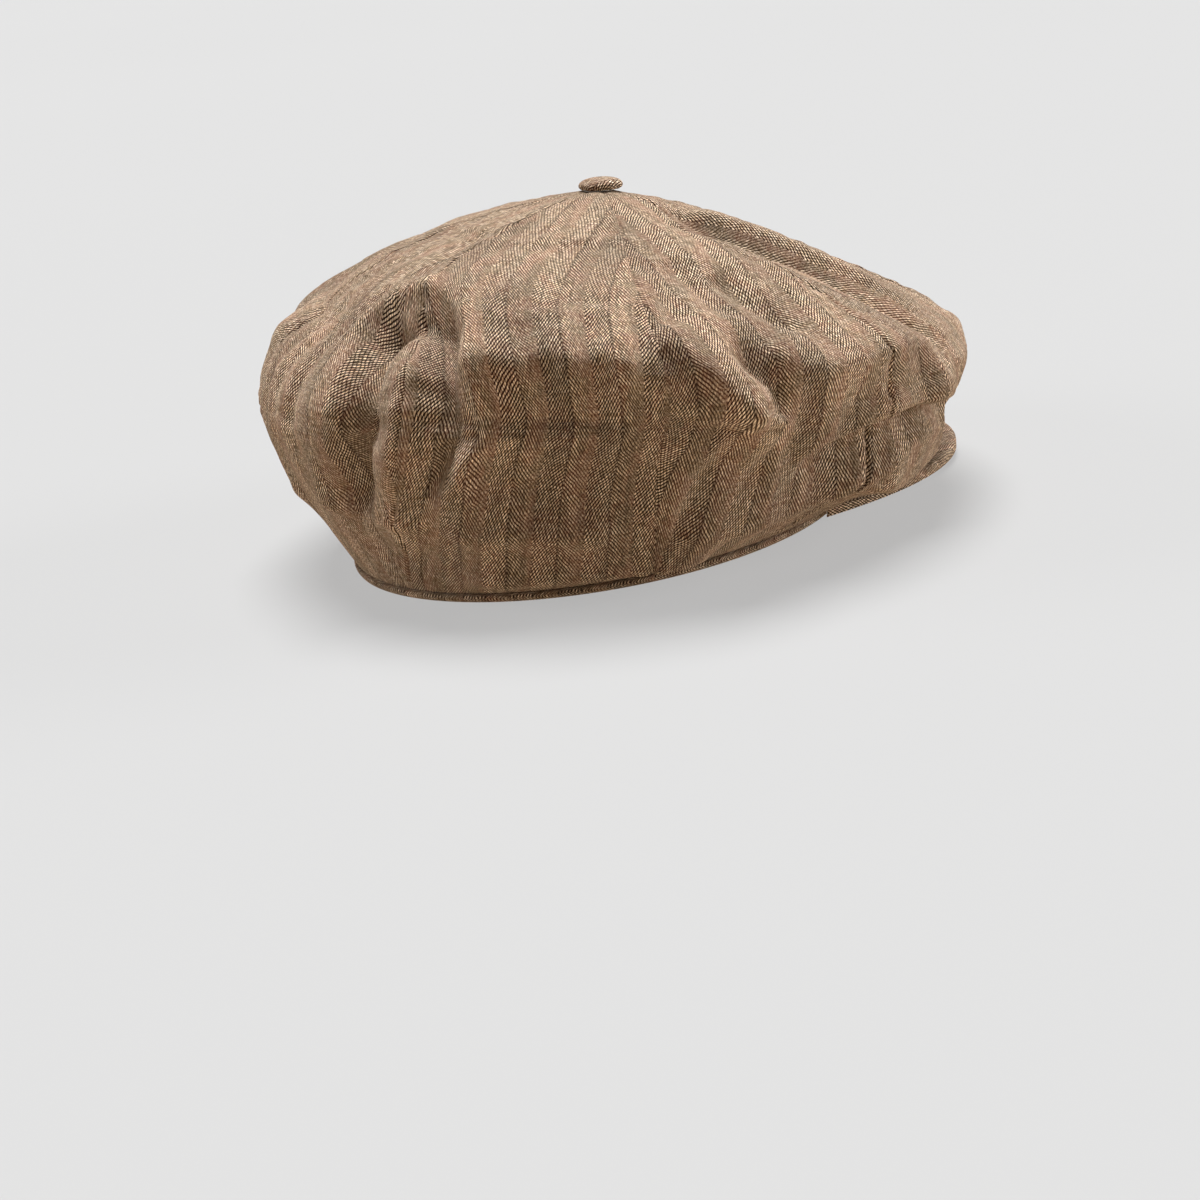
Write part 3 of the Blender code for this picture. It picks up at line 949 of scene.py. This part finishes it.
def build_lining(displaced, cloth):
    """The lining's panels, hanging clear of the crown's folds."""
    crown, crown_fall = cloth_grid(*SIM_GRID)
    depth = np.einsum("ijk,ijk->ij", displaced, grid_normals(crown, wrap=True))
    depth = soften_round(lowest_nearby(np.minimum(depth, 0), 4), 6, 6)
    smooth, fall = cloth_grid(*SIM_GRID, LINING_INSET, lining_edge)
    depth = read_columns(fall, crown_fall, depth)
    depth *= 1 - smooth_step(1.35, 1.9, fall)
    slack = 0.8 * MM * roughness_of(smooth, 25 * MM, 5) * smooth_step(0.1, 0.4, fall)
    slack *= 1 - smooth_step(1.6, 1.95, fall)
    outer = smooth + grid_normals(smooth, wrap=True) * (depth + slack - LINING)[..., None]
    outer[-1] = smooth[-1]
    inner = outer - grid_normals(outer, wrap=True) * LINING
    cut_panels("lining", outer, inner, outer, cloth, "lining")


# ---- hem and bands

RING_COLUMNS = 360
CAP_STEPS = 4
# The binding's outer face as (inset, height) in mm, from its inner leg to the lip.
BINDING_PATH = (
    (2.6, 14), (2.6, 8), (2.6, 3), (2.5, 1.0), (2.1, 0.25), (1.2, 0.0),
    (0.3, 0.15), (-0.15, 0.9), (-0.35, 1.8), (-0.15, 2.7), (0.45, 3.2),
)
BAND_ROWS = 13


def rounded_strip(path, thickness):
    """A closed section of this thickness to the right of a path of (inset, height)."""
    path = np.array(path, float)
    tangent = directions(path)
    far = path + np.stack([tangent[:, 1], -tangent[:, 0]], axis=-1) * thickness
    section = list(path)
    for end, direction in ((-1, 1), (0, -1)):
        centre = (path[end] + far[end]) / 2
        arm = (path[end] - centre) * direction
        out = tangent[end] * direction * thickness / 2
        for step in range(1, CAP_STEPS):
            turn = math.pi * step / CAP_STEPS
            section.append(centre + arm * math.cos(turn) + out * math.sin(turn))
        if direction == 1:
            section.extend(far[::-1])
    return section


def hem_ring(name, path, thickness):
    """A strip of this section, closed round the hem, with its weave."""
    angle = np.arange(RING_COLUMNS) * TURN / RING_COLUMNS
    section = rounded_strip(path, thickness)[::-1]
    rings = np.stack([oval(angle, inset, height) for inset, height in section], axis=1)
    closed = wrapped(wrapped(rings, 0))
    weave = np.stack([running_length(closed, axis) for axis in (0, 1)], axis=-1)
    index = wrapped(wrapped(numbered(*rings.shape[:2]), 0))
    weave_index = numbered(*index.shape)
    return add_cloth(
        name, rings, grid_faces(index)[:, ::-1], weave, grid_faces(weave_index)[:, ::-1])


def build_hem(cloth):
    """The self-cloth binding: a plump lip outside, folded under, with a leg inside."""
    path = np.array(BINDING_PATH) * MM
    dress(hem_ring("hem_cloth", path, DRAWN_TWEED), cloth, "tweed", "hem_binding")


def build_band(name, node, inset, thickness, cloth, slot):
    """An upright band inside the hem, with rounded edges."""
    low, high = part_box(node)
    path = [(inset, height) for height in np.linspace(high.z, low.z, BAND_ROWS)]
    dress(hem_ring(name, path, thickness), cloth, slot, node)


STITCH_ROWS = (3.6 * MM, 29.8 * MM)
STITCH_INSET = 5.05 * MM
STITCH_PITCH = 3.4 * MM
STITCH_LENGTH = 2.5 * MM
STITCH_RADIUS = 0.26 * MM
STITCH_SIDES = 6
STITCH_RINGS = 7
TRACK_POINTS = 3000


def build_sweatband_stitches(thread):
    """Two rows of stitches along the edges of the sweatband's inner face."""
    angle = np.linspace(0, TURN, TRACK_POINTS)
    turn = TURN * np.arange(STITCH_SIDES) / STITCH_SIDES
    swell = np.sin(np.linspace(0.25, math.pi - 0.25, STITCH_RINGS))
    points, faces = [], []
    for height in STITCH_ROWS:
        track = oval(angle, STITCH_INSET, height)
        length = running_length(track, axis=0)
        count = int(length[-1] / STITCH_PITCH)
        for stitch in range(count):
            start = stitch * length[-1] / count
            places = np.linspace(start, start + STITCH_LENGTH, STITCH_RINGS)
            spine = np.stack([np.interp(places, length, track[:, axis]) for axis in range(3)], -1)
            inward = np.cross(directions(spine), (0, 0, 1.0))
            rings = len(points) + numbered(STITCH_RINGS, STITCH_SIDES)
            spokes = np.outer(np.cos(turn), (1, 1, 1)) * inward[:, None]
            spokes = spokes + np.outer(np.sin(turn), (0, 0, 1))
            spokes *= STITCH_RADIUS * swell[:, None, None]
            points.extend((spine[:, None] + spokes).reshape(-1, 3).tolist())
            faces.extend(grid_faces(wrapped(rings)).tolist())
            faces.append(rings[0].tolist())
            faces.append(rings[-1][::-1].tolist())
    piece = add_mesh("sweatband_stitches", points, faces)
    piece.data.uv_layers.new(name="weave")
    piece.data.shade_smooth()
    dress(piece, thread, "sweatband")


# ---- peak

PEAK_ROUNDNESS = 2.5
PEAK_CAMBER = 3 * MM
PEAK_MIDDLE = 2.7 * MM
# Half its width along the hem, and the gap it leaves there.
PEAK_ROOT = 69 * MM
PEAK_HEM_GAP = 0.7 * MM
# The top cover's height over the board's middle, its rounded rim and its return.
PEAK_TOP = 2.2 * MM
PEAK_RIM = 1.3 * MM
RIM_STEPS = 5
RETURN_DROPS = (2.6 * MM, 3.6 * MM)
RETURN_MARGIN = 0.05 * MM
# The sheets that end inside the rim, with the heights of their faces.
INNER_MARGIN = 1.6 * MM
BOARD_FACES = (1.0 * MM, -1.0 * MM)
UNDER_FACES = (-1.3 * MM, -2.2 * MM)

peak_low, peak_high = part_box("peak_top_cover")
PEAK_SHARE = np.linspace(0, 1, 121)  # from corner to corner
PEAK_SPREAD = np.linspace(0, 1, 34)  # from hem to rim


def peak_grid(spread, height, margin):
    """Points from the hem (spread 0) to the rim (spread 1)."""
    inset = -PEAK_HEM_GAP - margin / 2
    corner = math.asin((PEAK_ROOT - margin) / (HEM_HALF_WIDTH - inset))
    inner = oval((2 * PEAK_SHARE - 1) * corner, inset, 0.0)
    turn = (2 * PEAK_SHARE - 1) * math.pi / 2
    power = 2 / PEAK_ROUNDNESS
    side = (peak_high.x - margin) * np.sign(turn) * np.abs(np.sin(turn)) ** power
    depth = peak_high.y - peak_low.y - margin
    ahead = peak_high.y - depth * np.maximum(np.cos(turn), 0) ** power
    outer = np.stack([side, ahead, np.zeros_like(turn)], axis=-1)
    points = inner + (outer - inner) * spread[:, None, None]
    across = points[..., 0] / peak_high.x
    rise = PEAK_CAMBER * spread[:, None] * (1 - across ** 2)
    points[..., 2] = PEAK_MIDDLE + height + rise
    return points


def rim_row(drop, margin):
    """A row of points along the rim, this far below the peak's top."""
    return peak_grid(np.array([1.0]), PEAK_TOP - drop, margin)[0]


def build_peak(cloth, plastic):
    """The board between its top and under covers, the top one lapped over the rim."""
    # Top cover: flat cloth, a rounded rim and a short return down the board's edge.
    outer = list(peak_grid(PEAK_SPREAD, PEAK_TOP, PEAK_RIM))
    inner = list(peak_grid(PEAK_SPREAD, PEAK_TOP - DRAWN_TWEED, PEAK_RIM))
    for step in range(1, RIM_STEPS + 1):
        turn = math.pi / 2 * step / RIM_STEPS
        for rows, depth in ((outer, 0.0), (inner, DRAWN_TWEED)):
            radius = PEAK_RIM - depth
            drop = depth + radius * (1 - math.cos(turn))
            rows.append(rim_row(drop, PEAK_RIM - radius * math.sin(turn)))
    for drop in RETURN_DROPS:
        outer.append(rim_row(drop, RETURN_MARGIN))
        inner.append(rim_row(drop, RETURN_MARGIN + DRAWN_TWEED))
    outer, inner = np.array(outer), np.array(inner)
    relief = 0.25 * MM * roughness_of(outer, 20 * MM, 11)
    edge = len(PEAK_SPREAD) - 1
    relief[edge:] *= 0.3
    outer = outer + grid_normals(outer) * relief[..., None]
    weave = outer[..., :2].copy()
    ahead = directions(weave[edge])
    outward = np.stack([ahead[:, 1], -ahead[:, 0]], axis=-1)
    weave[edge:] = weave[edge] + outward * running_length(outer[edge:], axis=0)[..., None]
    piece = closed_shell("peak_top_cloth", outer, inner, weave)
    dress(piece, cloth, "tweed", "peak_top_cover")

    for name, faces, material, slot, node in (
        ("peak_under_cloth", UNDER_FACES, cloth, "tweed", "peak_under_cover"),
        ("peak_board_sheet", BOARD_FACES, plastic, "board", "peak_board"),
    ):
        upper, lower = (peak_grid(PEAK_SPREAD, height, INNER_MARGIN) for height in faces)
        dress(closed_shell(name, upper, lower, upper[..., :2]), material, slot, node)


# ---- button

BUTTON_STEPS = 26
BUTTON_COLUMNS = 96
BUTTON_RADIUS = 8.2 * MM
BUTTON_TOP = 4.7 * MM
BUTTON_BASE = 0.4 * MM
BUTTON_SHOULDER = BUTTON_BASE + (BUTTON_TOP - BUTTON_BASE) * 0.3
BUTTON_CLOTH = 0.6 * MM
# The share of the rings on the dome; the others run down under it.
DOME_SHARE = 0.8
# Pleats where the cloth is drawn in: depth, count, shift.
PLEATS = ((0.022, 11, 0), (0.012, 23, 1))


def button_layer(angle, inset):
    """Rings of the button's cloth, from its top to its base."""
    rings = []
    for share in np.linspace(0.03, 1, BUTTON_STEPS):
        bend = min(share / DOME_SHARE, 1) * math.pi / 2
        drop = max(share - DOME_SHARE, 0) / (1 - DOME_SHARE)
        dome = BUTTON_TOP - inset - BUTTON_SHOULDER
        height = BUTTON_SHOULDER + dome * math.cos(bend) ** 0.85
        height -= (BUTTON_SHOULDER - BUTTON_BASE) * drop
        gather = smooth_step(0.55, 0.95, share)
        pleat = 1 + gather * sum(
            depth * np.sin(count * angle + shift) for depth, count, shift in PLEATS)
        reach = (BUTTON_RADIUS - inset) * math.sin(bend) ** 0.9
        across = reach * pleat * (1 - 0.10 * drop ** 2)
        ring = CROWN_CENTRE + UP * (CROWN_RISE + height) + np.outer(across * np.sin(angle), ACROSS)
        rings.append(ring + np.outer(across * np.cos(angle), FORWARD))
    return np.array(rings)


def build_button(cloth, metal):
    """The covered button: a cap of tweed drawn in over the metal dome."""
    angle = np.arange(BUTTON_COLUMNS) * TURN / BUTTON_COLUMNS
    outer = button_layer(angle, 0.0)
    down = running_length(wrapped(outer), axis=0)
    around = np.append(angle, TURN)
    weave = np.stack([down * np.sin(around), down * np.cos(around)], axis=-1) + 1.3 * MM
    inner = button_layer(angle, BUTTON_CLOTH)
    dress(closed_shell("button_cloth", outer, inner, weave), cloth, "tweed", "button_cover")
    for node in ("button_dome", "button_back", "button_washer"):
        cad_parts[node].data.materials.clear()
        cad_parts[node].data.materials.append(metal)


# ---- studio

CAMERA_AIM = Vector((0, 0.0206, -0.0323))
CAMERA_DISTANCE = 0.846
CAMERA_AZIMUTH = 240.366
CAMERA_ELEVATION = 19.389
CAMERA_ROLL = -7.21
CAMERA_LENS = 64.5

# Lamps: azimuth, elevation and apparent width in degrees, and strength.
LAMPS = {
    "overhead": (60, 76, 34, 5.7),
    "left": (140, 22, 30, 1.15),
    "right": (335, 14, 30, 2.2),
    "low_front": (250, 10, 40, 0.20),
}
FILL = {"Color": (1.0, 0.93, 0.86), "Strength": 0.06}
BACKDROP = {"Color": (0.80, 0.80, 0.80)}
FLOOR_REACH = 9.0
FLOOR_HEIGHT = -0.3 * MM


def toward(azimuth, elevation):
    """Direction from the cap at this azimuth and elevation in degrees."""
    azimuth, elevation = math.radians(azimuth), math.radians(elevation)
    return Vector((
        math.sin(azimuth) * math.cos(elevation),
        -math.cos(azimuth) * math.cos(elevation),
        math.sin(elevation),
    ))


def build_camera():
    data = bpy.data.cameras.new("camera")
    data.lens = CAMERA_LENS
    data.clip_end = 50
    back = toward(CAMERA_AZIMUTH, CAMERA_ELEVATION)
    turned = back.to_track_quat("Z", "Y").to_matrix().to_4x4()
    turned = turned @ Matrix.Rotation(math.radians(CAMERA_ROLL), 4, "Z")
    camera = add_object("camera", data)
    camera.matrix_world = Matrix.Translation(CAMERA_AIM + back * CAMERA_DISTANCE) @ turned
    bpy.context.scene.camera = camera


def build_studio():
    """A dim warm fill that the camera sees as a pale backdrop, a floor and four lamps."""
    n = Nodes("studio", "worlds")
    light = [n.node("ShaderNodeBackground", look).outputs[0] for look in (FILL, BACKDROP)]
    seen = n.node("ShaderNodeLightPath").outputs["Is Camera Ray"]
    choice = n.node("ShaderNodeMixShader", (seen, *light)).outputs[0]
    n.put(n.tree.nodes["World Output"].inputs["Surface"], choice)
    bpy.context.scene.world = n.owner

    low, high = -FLOOR_REACH, FLOOR_REACH
    corners = [(low, low, 0), (high, low, 0), (high, high, 0), (low, high, 0)]
    floor = add_mesh("floor", corners, [(0, 1, 2, 3)])
    floor.data.materials.append(studio_floor("floor"))
    floor.location.z = FLOOR_HEIGHT
    for name, (azimuth, elevation, width, strength) in LAMPS.items():
        data = bpy.data.lights.new(name, "SUN")
        data.energy = strength
        data.angle = math.radians(width)
        lamp = add_object(name, data)
        lamp.rotation_euler = toward(azimuth, elevation).to_track_quat("Z", "Y").to_euler()
    bpy.context.scene.view_settings.view_transform = "Standard"


# ---- assembly

herringbone = tweed("tweed")
displaced = settled_folds()
build_crown(displaced, herringbone)
build_lining(displaced, satin("lining", (0.10, 0.072, 0.052)))
build_hem(herringbone)
canvas = plain_weave("stiffener", (0.55, 0.50, 0.42), 0.8)
build_band("stiffener_canvas", "headband_stiffener", 2.9 * MM, 0.8 * MM, canvas, "stiffener")
tape = plain_weave("sweatband", (0.095, 0.072, 0.055), 0.6)
build_band("sweatband_tape", "sweatband", 4.0 * MM, 1.0 * MM, tape, "sweatband")
build_sweatband_stitches(plain_weave("thread", (0.26, 0.2, 0.15), 0.3))
build_peak(herringbone, moulded_plastic("board", (0.62, 0.62, 0.6)))
build_button(tweed("button_tweed", seed=4.0), pressed_metal("button_metal", (0.62, 0.62, 0.62)))
build_camera()
build_studio()

bpy.context.view_layer.update()
